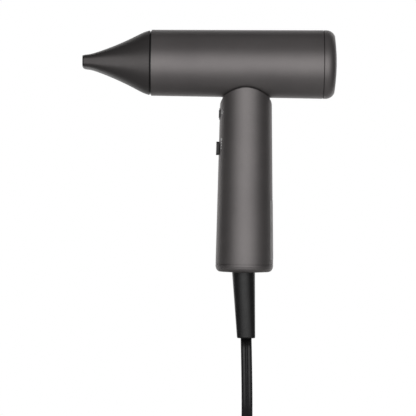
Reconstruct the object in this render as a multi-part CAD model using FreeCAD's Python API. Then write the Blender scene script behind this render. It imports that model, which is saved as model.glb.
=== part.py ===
import FreeCAD, Part
import math
import os

from FreeCAD import Vector

# Hand-held hair dryer, slim T shape, with a magnetic concentrator nozzle.
# Millimetres. +Z is up the handle, +X points to the air inlet, so the nozzle is at -X.
# The origin is on the handle's axis at the middle of the hand's grip.

os.makedirs("parts", exist_ok=True)

# ---- Driving dimensions -----------------------------------------------------------------

running_clearance = 0.03      # radial, shaft in a bearing
free_clearance = 0.3          # between pieces that move past each other
slip_clearance = 0.1          # between fixed pieces that are slid together
press_step = 0.9              # how far the mode button goes in

# Barrel, on an axis along X
barrel_axis_z = 105.0
barrel_front_x = -70.2
barrel_rear_x = 56.6
barrel_front_radius = 24.4
barrel_rear_radius = 25.35
barrel_wall = 1.8

# Front ring and outlet grille
ring_flange_thickness = 0.6
ring_flange_inset = 0.9
ring_thickness = 2.5
ring_shoulder_width = 2.4
ring_shoulder_depth = 4.3
ring_shoulder_thickness = 2.5
ring_tail = 5.4
grille_thickness = 2.0
grille_bar = 0.8
grille_spokes = 8
grille_rings = 2
grille_hub_radius = 3.6
needle_radius = 0.4
needle_reach = 2.6
emitter_radius = 3.2
magnet_radius = 0.8
magnet_depth = 2.0
magnet_count = 6

# Nozzle
nozzle_length = 49.4
nozzle_rear_radius = 24.15
nozzle_rear_round = 0.9
nozzle_wall = 1.1
slot_half_width = 20.0
slot_half_height = 4.75
sleeve_wall = 0.5
lip_length = 1.1
lip_depth = 7.0
lip_inset = 0.2
tip_squareness = 2.2          # 0 makes the slot's ends an ellipse, more makes them squarer
nozzle_slopes = (             # share of the length from the tip, and how steep the side is there
    (0.0, 0.20),
    (0.2, 0.95),
    (0.82, 1.40),
    (1.0, 0.75),
)
nozzle_stations = 12
nozzle_quarter_steps = 8
nozzle_rear_wall = 2.3
collar_flange = 1.6
collar_wall = 2.0
collar_flange_width = 1.2

# Heater
heat_tube_radius = 19.5
heat_tube_wall = 0.6
heat_tube_length = 55.4
mica_thickness = 0.8
mica_plates = 3
mica_end_length = 4.0
mica_margin = 5.4
mica_radius = 15.0
wire_radius = 0.5
wire_pitch = 4.0
cutout_radius = 4.0
cutout_length = 3.5

# Inner duct and motor
duct_wall = 1.1
duct_overlap = 14.0
duct_rear_x = 46.0
duct_rib = 4.0
motor_front_x = 8.0
motor_radius = 15.5
motor_wall = 1.0
hub_radius = 10.6
hub_length = 24.0
vane_count = 9
vane_thickness = 0.9
vane_length = 10.0
core_length = 10.0
core_ring = 2.0
tooth_count = 6
tooth_width = 2.4
rotor_gap = 0.5
rotor_radius = 4.9
winding_radial = 1.4
winding_build = 0.9
shaft_radius = 1.5
bearing_radius = 4.0
bearing_length = 3.0
bearing_standoff = 2.4        # from the stator core to the rear bearing
impeller_standoff = 0.8       # from the hub to the impeller
impeller_edge_round = 0.5
impeller_nose_round = 1.5
impeller_length = 10.2
impeller_nose_radius = 3.6
impeller_tip_gap = 0.4
blade_count = 11
blade_thickness = 0.8
blade_chord = 9.0
blade_pitch = 38.0
mount_pad = 3.0
mount_sleeve = 1.0
mount_length = 22.0
bell_length = 4.0
bell_lip = 4.2

# Inlet and removable rear cover
inlet_ring_length = 6.2
inlet_ring_thickness = 3.1
spigot_reach = 3.3
spigot_wall = 1.0
cap_gap = 0.5
cap_length = 8.0
cap_round = 7.0
grille_rear_radius = 21.3
grille_dome = 1.6
grille_rear_thickness = 1.2
hole_radius = 0.9
hole_rows = 7
hole_row_step = 2.85
holes_added_per_row = 6
filter_thickness = 0.6
filter_frame = 2.4

# Handle
grip_top_z = 76.4
grip_top_radius = 19.15
grip_bottom_radius = 21.3
handle_seam_z = -43.3
handle_wall = 1.8
neck_gap = 0.8
neck_edge_round = 0.5
shoulder_start_z = 73.8
shoulder_end_z = 78.8
shoulder_radius = 8.0
gasket_inset = 0.9
neck_bore_radius = 15.0
neck_bore_start_z = 73.0
neck_tube_wall = 1.9
neck_flange = 2.6
neck_flange_thickness = 1.0

# Chassis and electronics in the handle
bulkhead_thickness = 2.0
chassis_bottom_z = -36.0
board_half_width = 13.0
board_thickness = 1.6
board_y = 1.0
board_bottom_z = -30.0
board_top_z = 27.0
rail_width = 3.0
rail_thickness = 5.0
rail_groove = 1.2
lead_hole_radius = 9.0
lead_hole_x = 4.0

# Parts on the main board: on its front, then on its back
part_round = 0.6
capacitor_radius = 5.0
capacitor_length = 18.0
capacitor_x = -6.0
capacitor_z = -26.0
transformer_width = 14.0
transformer_depth = 11.0
transformer_height = 14.0
transformer_z = -4.0
choke_radius = 3.6
choke_wire_radius = 1.8
choke_x = 5.6
choke_z = -20.0
connector_width = 18.0
connector_depth = 5.0
connector_height = 6.0
connector_wall = 1.0
connector_ways = 3
connector_z = 14.0
heat_sink_width = 18.0
heat_sink_height = 28.0
heat_sink_base = 2.0
heat_sink_z = -24.0
fin_count = 5
fin_thickness = 1.2
fin_height = 9.0
chip_width = 8.0
chip_height = 5.0
chip_thickness = 1.6
chip_places = (8.0, 18.0)

# Mode button and its bezel
button_z = 67.7
button_radius = 3.1
button_proud = 0.75
button_edge_round = 0.3
bezel_wall = 0.9
bezel_proud = 0.45
button_flange_radius = 4.6
button_flange = 1.0

# Slide switch
slide_z = 42.2
slide_travel = 4.1
knob_height = 9.9
knob_width = 7.2
knob_corner = 1.4
knob_proud = 2.0
knob_gap = 0.3
knob_cap_height = 5.8
knob_cap_inset = 0.9
knob_cap_thickness = 0.6
stem_width = 2.4
stem_height = 3.0
carrier_width = 6.0
carrier_height = 16.0
carrier_thickness = 1.2
carrier_gap = 0.4
pin_size = 1.6
pin_reach = 1.6               # how far the carrier's pin goes into the slide switch
switch_board_thickness = 1.6
switch_board_half_width = 8.0
switch_board_bottom_z = 31.0
switch_board_top_z = 70.9
slide_body_depth = 3.4
slide_body_half_width = 3.4
slide_body_end = 2.0
slide_body_back = 0.8
tact_size = 6.0
tact_depth = 3.4
plunger_radius = 1.5
plunger_reach = 0.7

# Label
plate_thickness = 0.15
plate_half_angle = 26.0
plate_bottom_z = -39.6
plate_top_z = 4.0

# Base, cord relief
base_side = 1.5
base_round = 3.6
base_depth = 6.1
base_dome = 0.6
base_draft = 1.0
base_seam_gap = 0.25
base_skirt = 4.2
base_skirt_wall = 1.6
base_floor = 2.6
relief_top_radius = 8.5
relief_neck_radius = 6.4
relief_flange_radius = 9.0
relief_flange = 1.6
relief_length = 48.6
relief_offset = -0.5
relief_bottom_half_width = 6.75
relief_bottom_half_depth = 4.6
relief_lean = 1.9
relief_end_round = 1.0
lead_radius = 1.5
lead_spacing = 3.6
clamp_height = 5.0
clamp_width = 22.0
clamp_depth = 4.0
screw_radius = 1.1
screw_head_radius = 2.0
screw_head = 1.4
screw_inset = 3.0

# Cord, laid on a surface below the held dryer
cord_diameter = 8.2           # the flat cord's width
cord_thickness = 4.4
surface_z = -205.8
cord_route = [
    Vector(1.9, 0.0, -98.0),
    Vector(2.9, 0.0, -129.0),
    Vector(3.3, 2.0, -163.7),
    Vector(3.3, 31.6, -192.7),
    Vector(3.3, 72.6, -192.7),
]
arc_share = 0.45
coil_mean_radius = 48.0
coil_columns = 3
coil_layers = 2
turn_gap = 0.4
tie_width = 12.0
tie_thickness = 0.8
tie_turn = 150.0
plug_length = 34.0
plug_half_width = 12.5
plug_half_height = 7.5
plug_round = 4.0
plug_relief_length = 24.0
plug_relief_radius = 5.2
plug_relief_end_radius = 4.5
plug_turn = 180.0             # where round the coil the plug's lead leaves it, in degrees
plug_lead = 16.0
blade_length = 17.8
blade_width = 6.35
blade_metal = 1.5
blade_spacing = 12.7
blade_end_round = 1.2
blade_root = 6.0

# ---- Derived places -----------------------------------------------------------------------

cover = 1.0                   # how far a cutting tool runs past the surface it cuts
flange_front_x = barrel_front_x - ring_flange_thickness
nozzle_rear_x = flange_front_x - free_clearance
nozzle_tip_x = nozzle_rear_x - nozzle_length
nozzle_reach = 2.0 * max(slot_half_width, nozzle_rear_radius)  # wider than the whole nozzle
shell_front_inner = barrel_front_radius - barrel_wall
ring_inner_radius = shell_front_inner - ring_thickness
collar_radius = ring_inner_radius - free_clearance
collar_inner_radius = collar_radius - collar_wall
shoulder_front_x = barrel_front_x + ring_shoulder_depth
shoulder_rear_x = shoulder_front_x + ring_shoulder_thickness
shoulder_inner_radius = ring_inner_radius - ring_shoulder_width
collar_end_x = shoulder_front_x - free_clearance
heat_front_x = shoulder_rear_x
heat_rear_x = heat_front_x + heat_tube_length
duct_front_x = heat_rear_x - duct_overlap
duct_outer_radius = heat_tube_radius + duct_wall
frame_front_x = heat_front_x + mica_margin
frame_rear_x = heat_rear_x - mica_margin
hub_rear_x = motor_front_x + hub_length
hub_inner_radius = hub_radius - motor_wall
motor_inner_radius = motor_radius - motor_wall
bearing_front_x = motor_front_x + 2.0 * motor_wall
core_front_x = bearing_front_x + bearing_length + motor_wall
core_rear_x = core_front_x + core_length
bearing_rear_x = core_rear_x + bearing_standoff
impeller_front_x = hub_rear_x + impeller_standoff
impeller_rear_x = impeller_front_x + impeller_length
bell_rear_x = duct_rear_x + bell_length
inlet_front_x = barrel_rear_x - inlet_ring_length
cap_front_x = barrel_rear_x + cap_gap
cap_rear_x = cap_front_x + cap_length
spigot_outer_radius = barrel_rear_radius - barrel_wall - inlet_ring_thickness + spigot_wall
cap_inner_radius = spigot_outer_radius + free_clearance
base_side_end_z = handle_seam_z - base_side
base_bottom_z = handle_seam_z - base_depth
relief_bottom_z = base_bottom_z - relief_length
coil_low_z = surface_z + tie_thickness
coil_depth = coil_columns * (cord_thickness + turn_gap)
coil_height = coil_layers * cord_diameter
coil_inner_radius = coil_mean_radius - coil_depth / 2.0
coil_outer_radius = coil_mean_radius + coil_depth / 2.0
outer_turn_radius = coil_outer_radius - (cord_thickness + turn_gap) / 2.0
coil_centre = Vector(cord_route[-1].x - outer_turn_radius, cord_route[-1].y, surface_z)

X = Vector(1, 0, 0)
Y = Vector(0, 1, 0)
Z = Vector(0, 0, 1)
ORIGIN = Vector(0, 0, 0)
MITRED = 1                    # sharp corners where a sweep turns
AXIS_POINT = Vector(0, 0, barrel_axis_z)


# ---- Shared shapes ------------------------------------------------------------------------

def barrel_radius(x):
    share = (x - barrel_front_x) / (barrel_rear_x - barrel_front_x)
    return barrel_front_radius + share * (barrel_rear_radius - barrel_front_radius)


def handle_radius(z):
    share = (grip_top_z - z) / (grip_top_z - handle_seam_z)
    return grip_top_radius + share * (grip_bottom_radius - grip_top_radius)


def shell_inner(x):
    return barrel_radius(x) - barrel_wall


def barrel_body(offset, x0, x1):
    """The barrel's tapered outside between two stations, grown by an offset."""
    start = Vector(x0, 0, barrel_axis_z)
    return Part.makeCone(barrel_radius(x0) + offset, barrel_radius(x1) + offset, x1 - x0, start, X)


def handle_body(offset, z0, z1):
    """The handle's tapered outside between two heights, grown by an offset."""
    start = Vector(0, 0, z0)
    return Part.makeCone(handle_radius(z0) + offset, handle_radius(z1) + offset, z1 - z0, start, Z)


def box(x0, x1, y0, y1, z0, z1):
    return Part.makeBox(x1 - x0, y1 - y0, z1 - z0, Vector(x0, y0, z0))


def rod_x(x0, x1, radius, y=0.0, z=barrel_axis_z):
    return Part.makeCylinder(radius, x1 - x0, Vector(x0, y, z), X)


def rod_z(z0, z1, radius, x=0.0, y=0.0):
    return Part.makeCylinder(radius, z1 - z0, Vector(x, y, z0), Z)


def ring_x(x0, x1, outer, inner):
    return rod_x(x0, x1, outer).cut(rod_x(x0 - cover, x1 + cover, inner))


def ring_z(z0, z1, outer, inner):
    return rod_z(z0, z1, outer).cut(rod_z(z0 - cover, z1 + cover, inner))


def rounded_edges(points, radii, closed):
    """Straight edges through the points, with a tangent arc at each corner that has a radius."""
    count = len(points)
    corners = []
    for i, (point, radius) in enumerate(zip(points, radii)):
        inner = closed or 0 < i < count - 1
        if radius <= 0 or not inner:
            corners.append((point, None, point))
            continue
        back = (points[i - 1] - point).normalize()
        ahead = (points[(i + 1) % count] - point).normalize()
        half = back.getAngle(ahead) / 2.0
        setback = radius / math.tan(half)
        middle = (back + ahead).normalize() * (radius / math.sin(half) - radius)
        corners.append((point + back * setback, point + middle, point + ahead * setback))
    edges = []
    for i, (start, middle, end) in enumerate(corners):
        if middle is not None:
            edges.append(Part.Arc(start, middle, end).toShape())
        if closed or i < count - 1:
            following = corners[(i + 1) % count][0]
            if (following - end).Length > 1e-6:
                edges.append(Part.LineSegment(end, following).toShape())
    return edges


def outline(points, radii=None):
    """A closed wire through the points, with rounded corners where radii are given."""
    return Part.Wire(rounded_edges(points, radii or [0.0] * len(points), True))


def turned_x(profile, radii=None):
    """A solid of revolution about the barrel's axis, from (x, radius) points."""
    points = [Vector(x, 0, barrel_axis_z + radius) for x, radius in profile]
    return Part.Face(outline(points, radii)).revolve(AXIS_POINT, X, 360)


def turned_z(profile, radii=None):
    """A solid of revolution about the handle's axis, from (radius, z) points."""
    points = [Vector(radius, 0, z) for radius, z in profile]
    return Part.Face(outline(points, radii)).revolve(ORIGIN, Z, 360)


def around_barrel(shape, count, start=0.0):
    """Copies of a shape spaced evenly round the barrel's axis."""
    copies = []
    for i in range(count):
        copy = shape.copy()
        copy.rotate(AXIS_POINT, X, start + 360.0 * i / count)
        copies.append(copy)
    return copies


def joined(shapes):
    whole = shapes[0]
    if len(shapes) > 1:
        whole = whole.multiFuse(shapes[1:])
    return whole.removeSplitter()


def magnet_ring(x0, radius):
    magnet = rod_x(x0, x0 + magnet_depth, magnet_radius, 0.0, barrel_axis_z + radius)
    return Part.makeCompound(around_barrel(magnet, magnet_count))


def rounded_block(x0, x1, half_width, z0, z1, corner):
    """A block along X with its four long edges rounded."""
    points = [Vector(x0, -half_width, z0), Vector(x0, half_width, z0),
              Vector(x0, half_width, z1), Vector(x0, -half_width, z1)]
    return Part.Face(outline(points, [corner] * len(points))).extrude(X * (x1 - x0))


# ---- Nozzle -------------------------------------------------------------------------------

def nozzle_half_height(along):
    """Half height from the tip (0) to the rear (1), by adding up the slopes up to there."""
    climbed = 0.0
    whole = 0.0
    for (start, slope), (end, next_slope) in zip(nozzle_slopes, nozzle_slopes[1:]):
        whole += (end - start) * (slope + next_slope) / 2.0
        reached = min(max(along, start), end)
        reached_slope = slope + (next_slope - slope) * (reached - start) / (end - start)
        climbed += (reached - start) * (slope + reached_slope) / 2.0
    return slot_half_height + climbed / whole * (nozzle_rear_radius - slot_half_height)


def nozzle_section(along, shrink):
    """One cross-section: a slot with rounded ends at the tip (0), a circle at the rear (1)."""
    half_height = nozzle_half_height(along) - shrink
    half_width = slot_half_width + along * (nozzle_rear_radius - slot_half_width) - shrink
    power = 2.0 / (2.0 + tip_squareness * (1.0 - along) ** 2)
    quarter = []
    for i in range(nozzle_quarter_steps):
        turn = math.pi / 2.0 * i / nozzle_quarter_steps
        quarter.append((half_width * math.cos(turn) ** power, half_height * math.sin(turn) ** power))
    half = quarter + [(0.0, half_height)] + [(-y, z) for y, z in reversed(quarter)]
    whole = half + [(y, -z) for y, z in reversed(half[1:-1])]
    x = nozzle_tip_x + along * nozzle_length
    points = [Vector(x, y, barrel_axis_z + z) for y, z in whole]
    curve = Part.BSplineCurve()
    curve.interpolate(Points=points, PeriodicFlag=True)
    marks = [curve.parameter(points[i * nozzle_quarter_steps]) for i in range(4)]
    marks.append(curve.LastParameter)
    quarters = [curve.toShape(low, high) for low, high in zip(marks, marks[1:])]
    return Part.Wire(quarters)


def nozzle_body(shrink):
    """The nozzle's outside shape, shrunk all round."""
    sections = []
    for i in range(nozzle_stations + 1):
        sections.append(nozzle_section(i / nozzle_stations, shrink))
    return Part.makeLoft(sections, True, False)


def make_nozzle_shell():
    """Metallic outer shell, with a rear wall that turns on the collar."""
    body = nozzle_body(0.0)
    rear_edges = [edge for edge in body.Edges
                  if edge.BoundBox.XMin > nozzle_rear_x - nozzle_rear_round]
    body = body.makeFillet(nozzle_rear_round, rear_edges)
    lip_end_x = nozzle_tip_x + lip_length
    body = body.cut(rod_x(nozzle_tip_x - cover, lip_end_x, nozzle_reach))
    cavity = nozzle_body(nozzle_wall)
    wall_x = nozzle_rear_x - nozzle_rear_wall
    cavity = cavity.common(rod_x(nozzle_tip_x - cover, wall_x, nozzle_reach))
    body = body.cut(cavity)
    return body.cut(rod_x(wall_x - cover, nozzle_rear_x + cover, collar_radius + free_clearance))


def make_nozzle_lip():
    """Black heat-proof lip round the slot, with a sleeve inside the mouth."""
    lip_end_x = nozzle_tip_x + lip_length
    sleeve_end_x = nozzle_tip_x + lip_depth
    front = rod_x(nozzle_tip_x - cover, lip_end_x, nozzle_reach)
    inside = rod_x(lip_end_x, sleeve_end_x, nozzle_reach)
    lip = nozzle_body(lip_inset).common(front)
    sleeve = nozzle_body(nozzle_wall).common(inside)
    mouth = Part.Face(nozzle_section(0.0, nozzle_wall + sleeve_wall))
    bore = [nozzle_body(nozzle_wall + sleeve_wall), mouth.extrude(X * -cover)]
    return lip.fuse(sleeve).cut(bore)


def make_nozzle_collar():
    """Ring that seats in the barrel's front; the nozzle turns round it."""
    wall_x = nozzle_rear_x - nozzle_rear_wall
    flange_rear_x = wall_x - free_clearance
    flange_front = flange_rear_x - collar_flange
    flange_radius = collar_radius + collar_flange_width
    collar = turned_x([
        (flange_front, collar_inner_radius),
        (flange_front, flange_radius),
        (flange_rear_x, flange_radius),
        (flange_rear_x, collar_radius),
        (collar_end_x, collar_radius),
        (collar_end_x, collar_inner_radius),
    ])
    return collar.cut(magnet_ring(collar_end_x - magnet_depth, collar_radius - collar_wall / 2.0))


def make_nozzle_magnets():
    return magnet_ring(collar_end_x - magnet_depth, collar_radius - collar_wall / 2.0)


# ---- Barrel front -------------------------------------------------------------------------

def make_barrel_shell():
    shell = barrel_body(0.0, barrel_front_x, barrel_rear_x)
    shell = shell.cut(barrel_body(-barrel_wall, barrel_front_x - cover, barrel_rear_x + cover))
    return shell.cut(rod_z(grip_top_z, barrel_axis_z, neck_bore_radius - slip_clearance))


def make_front_ring():
    """Black ring in the barrel's mouth; its thin flange is the dark line behind the nozzle."""
    flange_radius = barrel_front_radius - ring_flange_inset
    tail_x = shoulder_rear_x + ring_tail
    ring = turned_x([
        (flange_front_x, ring_inner_radius),
        (flange_front_x, flange_radius),
        (barrel_front_x, flange_radius),
        (barrel_front_x, shell_front_inner),
        (tail_x, shell_inner(tail_x)),
        (tail_x, heat_tube_radius),
        (shoulder_rear_x, heat_tube_radius),
        (shoulder_rear_x, shoulder_inner_radius),
        (shoulder_front_x, shoulder_inner_radius),
        (shoulder_front_x, ring_inner_radius),
    ])
    return ring.cut(magnet_ring(shoulder_front_x, collar_radius - collar_wall / 2.0))


def make_outlet_grille():
    """Rings and spokes that keep fingers away from the heater."""
    x0 = shoulder_rear_x - grille_thickness
    rings = [ring_x(x0, shoulder_rear_x, shoulder_inner_radius, shoulder_inner_radius - grille_bar)]
    spacing = (shoulder_inner_radius - grille_hub_radius) / (grille_rings + 1)
    for step in range(1, grille_rings + 1):
        radius = grille_hub_radius + step * spacing
        rings.append(ring_x(x0, shoulder_rear_x, radius, radius - grille_bar))
    hub = ring_x(x0, shoulder_rear_x, grille_hub_radius, needle_radius + free_clearance)
    spoke = box(x0, shoulder_rear_x, -grille_bar / 2.0, grille_bar / 2.0,
                barrel_axis_z + grille_hub_radius - 0.5 * grille_bar,
                barrel_axis_z + shoulder_inner_radius - 0.5 * grille_bar)
    return joined([hub] + rings + around_barrel(spoke, grille_spokes))


def make_ion_emitter():
    """Ceramic block behind the grille's hub with a needle through it."""
    body = rod_x(shoulder_rear_x, frame_front_x, emitter_radius)
    needle = Part.makeCone(needle_radius / 4.0, needle_radius, needle_reach,
                           Vector(shoulder_rear_x - needle_reach, 0, barrel_axis_z), X)
    return body.fuse(needle)


# ---- Heater -------------------------------------------------------------------------------

def make_heat_tube():
    return ring_x(heat_front_x, heat_rear_x, heat_tube_radius, heat_tube_radius - heat_tube_wall)


def make_heater_frame():
    """Crossed mica plates; their ends reach out to the tube."""
    inner = heat_tube_radius - heat_tube_wall
    half = mica_thickness / 2.0
    plates = []
    for start, end, radius in ((frame_front_x, frame_rear_x, mica_radius),
                               (frame_front_x, frame_front_x + mica_end_length, inner),
                               (frame_rear_x - mica_end_length, frame_rear_x, inner)):
        plate = box(start, end, -half, half, barrel_axis_z - radius - cover, barrel_axis_z + radius + cover)
        turned = around_barrel(plate, 2 * mica_plates)[:mica_plates]
        plates += [piece.common(rod_x(start, end, radius)) for piece in turned]
    return joined(plates)


def make_heater_coil():
    """Resistance wire wound straight from one plate's edge to the next."""
    sides = 2 * mica_plates
    lean = math.pi / sides
    gap = (wire_radius + mica_thickness / 2.0 * math.sin(lean)) / math.cos(lean)
    corner_radius = mica_radius + gap + slip_clearance
    start_x = frame_front_x + mica_end_length + wire_pitch / 2.0
    length = frame_rear_x - frame_front_x - 2.0 * mica_end_length - wire_pitch
    corners = []
    for i in range(int(sides * length / wire_pitch) + 1):
        corner = Vector(start_x + i * wire_pitch / sides, 0, barrel_axis_z)
        turn = 2.0 * i * lean
        corners.append(corner + Vector(0, math.sin(turn), math.cos(turn)) * corner_radius)
    profile = Part.Wire(Part.makeCircle(wire_radius, corners[0], corners[1] - corners[0]))
    return Part.makePolygon(corners).makePipeShell([profile], True, False, MITRED)


def make_thermal_cutout():
    return rod_x(frame_rear_x, frame_rear_x + cutout_length, cutout_radius)


# ---- Motor and fan ------------------------------------------------------------------------

def make_inner_duct():
    """Plastic tube that carries air from the inlet to the heater."""
    rib_end_x = duct_front_x + duct_rib / 2.0
    rear_rib_x = duct_rear_x - duct_rib
    return turned_x([
        (duct_front_x, heat_tube_radius),
        (duct_front_x, shell_inner(duct_front_x)),
        (rib_end_x, shell_inner(rib_end_x)),
        (rib_end_x, duct_outer_radius),
        (rear_rib_x, duct_outer_radius),
        (rear_rib_x, shell_inner(rear_rib_x)),
        (duct_rear_x, shell_inner(duct_rear_x)),
        (duct_rear_x, heat_tube_radius),
    ])


def make_motor_mount():
    """Rubber sleeve between the duct and the motor."""
    front_x = motor_front_x + mount_pad
    rear_x = front_x + mount_length
    outer = motor_radius + mount_sleeve
    return turned_x([
        (front_x, motor_radius),
        (front_x, heat_tube_radius),
        (front_x + mount_pad, heat_tube_radius),
        (front_x + mount_pad, outer),
        (rear_x - mount_pad, outer),
        (rear_x - mount_pad, heat_tube_radius),
        (rear_x, heat_tube_radius),
        (rear_x, motor_radius),
    ])


def make_motor_housing():
    """Outer tube, guide vanes and the hub that holds the stator and front bearing."""
    tube = ring_x(motor_front_x, duct_rear_x, motor_radius, motor_inner_radius)
    hub = ring_x(motor_front_x, hub_rear_x, hub_radius, hub_inner_radius)
    wall = ring_x(motor_front_x, bearing_front_x, hub_inner_radius, shaft_radius + free_clearance)
    seat = ring_x(bearing_front_x, bearing_front_x + bearing_length, bearing_radius + motor_wall,
                  bearing_radius)
    vane = box(motor_front_x, motor_front_x + vane_length, -vane_thickness / 2.0, vane_thickness / 2.0,
               barrel_axis_z + hub_inner_radius + motor_wall / 2.0,
               barrel_axis_z + motor_inner_radius + motor_wall / 2.0)
    return joined([tube, hub, wall, seat] + around_barrel(vane, vane_count))


def make_stator_core():
    """Laminated ring with inward teeth."""
    inner = rotor_radius + rotor_gap
    ring = ring_x(core_front_x, core_rear_x, hub_inner_radius, hub_inner_radius - core_ring)
    tooth = box(core_front_x, core_rear_x, -tooth_width / 2.0, tooth_width / 2.0,
                barrel_axis_z + inner - cover, barrel_axis_z + hub_inner_radius - core_ring / 2.0)
    whole = joined([ring] + around_barrel(tooth, tooth_count))
    return whole.cut(rod_x(core_front_x - cover, core_rear_x + cover, inner))


def make_stator_windings():
    """A copper coil round each tooth."""
    top = hub_inner_radius - core_ring - 2.0 * running_clearance
    half = tooth_width / 2.0
    low = barrel_axis_z + top - winding_radial
    outer = box(core_front_x - winding_build, core_rear_x + winding_build, -half - winding_build,
                half + winding_build, low, barrel_axis_z + top)
    outer = outer.common(rod_x(core_front_x - cover, core_rear_x + cover, top))
    coil = outer.cut(box(core_front_x, core_rear_x, -half, half, low - cover, barrel_axis_z + top + cover))
    return Part.makeCompound(around_barrel(coil, tooth_count))


def make_bearing(x0):
    return ring_x(x0, x0 + bearing_length, bearing_radius, shaft_radius + running_clearance)


def make_motor_bracket():
    """Disc that closes the hub's rear and holds the rear bearing."""
    return ring_x(bearing_rear_x, bearing_rear_x + bearing_length, hub_inner_radius, bearing_radius)


def make_rotor_shaft():
    return rod_x(motor_front_x + 0.5 * motor_wall, impeller_rear_x - cover, shaft_radius)


def make_rotor_magnet():
    return ring_x(core_front_x, core_rear_x, rotor_radius, shaft_radius)


def make_impeller():
    """Mixed-flow wheel: a tapered hub and pitched blades."""
    hub = turned_x([
        (impeller_front_x, 0.0),
        (impeller_front_x, hub_inner_radius),
        (impeller_rear_x, impeller_nose_radius),
        (impeller_rear_x, 0.0),
    ], [0.0, impeller_edge_round, impeller_nose_round, 0.0])
    middle_x = (impeller_front_x + impeller_rear_x) / 2.0
    blade = box(middle_x - blade_chord / 2.0, middle_x + blade_chord / 2.0,
                -blade_thickness / 2.0, blade_thickness / 2.0,
                barrel_axis_z + impeller_nose_radius / 2.0, barrel_axis_z + motor_radius)
    blade.rotate(Vector(middle_x, 0, barrel_axis_z), Z, blade_pitch)
    tips = rod_x(impeller_front_x, impeller_rear_x, motor_inner_radius - impeller_tip_gap)
    blades = [piece.common(tips) for piece in around_barrel(blade, blade_count)]
    wheel = joined([hub] + blades)
    return wheel.cut(rod_x(impeller_front_x - cover, impeller_rear_x - cover, shaft_radius))


def make_inlet_bell():
    """Rounded mouth that leads air into the motor."""
    return turned_x([
        (duct_rear_x, motor_inner_radius),
        (duct_rear_x, duct_outer_radius),
        (bell_rear_x, duct_outer_radius),
        (bell_rear_x, motor_inner_radius + bell_lip),
    ])


# ---- Inlet and rear cover -----------------------------------------------------------------

def make_inlet_ring():
    """Black ring in the barrel's rear end, with a spigot that guides the rear cover."""
    inner = spigot_outer_radius - spigot_wall
    ring = turned_x([
        (inlet_front_x, inner),
        (inlet_front_x, shell_inner(inlet_front_x)),
        (barrel_rear_x, shell_inner(barrel_rear_x)),
        (barrel_rear_x, spigot_outer_radius),
        (barrel_rear_x + spigot_reach, spigot_outer_radius),
        (barrel_rear_x + spigot_reach, inner),
    ])
    return ring.cut(magnet_ring(barrel_rear_x - magnet_depth, cap_magnet_radius()))


def cap_magnet_radius():
    return (spigot_outer_radius + shell_inner(barrel_rear_x)) / 2.0


def make_barrel_magnets():
    """Identical magnets at both ends of the barrel, for the nozzle and for the rear cover."""
    front = magnet_ring(shoulder_front_x, collar_radius - collar_wall / 2.0)
    rear = magnet_ring(barrel_rear_x - magnet_depth, cap_magnet_radius())
    return Part.makeCompound(front.Solids + rear.Solids)


def make_cap_magnets():
    return magnet_ring(cap_front_x, cap_magnet_radius())


def arc_reach(radius, drop):
    """How far along an arc has gone when it has dropped this much below its top."""
    return math.sqrt(radius ** 2 - (radius - drop) ** 2)


def make_rear_cap():
    """Metallic ring that pulls off the barrel's rear end for cleaning."""
    outer = barrel_rear_radius
    filter_x = barrel_rear_x + spigot_reach + free_clearance
    cap = turned_x([
        (cap_front_x, cap_inner_radius),
        (cap_front_x, outer),
        (cap_rear_x, outer),
        (cap_rear_x, grille_rear_radius),
        (cap_rear_x - grille_rear_thickness, grille_rear_radius),
        (cap_rear_x - grille_rear_thickness, cap_inner_radius - filter_frame),
        (filter_x + filter_thickness, cap_inner_radius - filter_frame),
        (filter_x + filter_thickness, cap_inner_radius),
    ])
    rounding_start_x = cap_rear_x - arc_reach(cap_round, outer - grille_rear_radius)
    rounded_end_x = rounding_start_x + cap_round
    rounded = turned_x([
        (cap_front_x, 0.0),
        (cap_front_x, outer),
        (rounded_end_x, outer),
        (rounded_end_x, 0.0),
    ], [0.0, 0.0, cap_round, 0.0])
    return cap.common(rounded).cut(make_cap_magnets())


def make_rear_grille():
    """Slightly domed black disc with rings of round holes."""
    dome_radius = (grille_rear_radius ** 2 + grille_dome ** 2) / (2.0 * grille_dome)
    front_x = cap_rear_x - grille_rear_thickness
    centre = Vector(cap_rear_x + grille_dome - dome_radius, 0, barrel_axis_z)
    outer = Part.makeSphere(dome_radius, centre).common(rod_x(front_x, cap_rear_x + cover + grille_dome,
                                                              grille_rear_radius))
    inner = Part.makeSphere(dome_radius - grille_rear_thickness, centre)
    disc = outer.cut(inner)
    end_x = cap_rear_x + grille_dome + cover
    holes = [rod_x(front_x - cover, end_x, hole_radius)]
    for row in range(1, hole_rows):
        hole = rod_x(front_x - cover, end_x, hole_radius, 0.0, barrel_axis_z + row * hole_row_step)
        holes += around_barrel(hole, row * holes_added_per_row)
    return disc.cut(holes)


def make_filter_mesh():
    filter_x = barrel_rear_x + spigot_reach + free_clearance
    return rod_x(filter_x, filter_x + filter_thickness, cap_inner_radius)


# ---- Handle -------------------------------------------------------------------------------

def slot_box(x0, x1):
    """The slot that the slide switch's stem runs in, with its clearance."""
    half = stem_width / 2.0 + free_clearance
    low = slide_z - stem_height / 2.0 - free_clearance
    high = slide_z + stem_height / 2.0 + slide_travel + free_clearance
    return box(x0, x1, -half, half, low, high)


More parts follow.
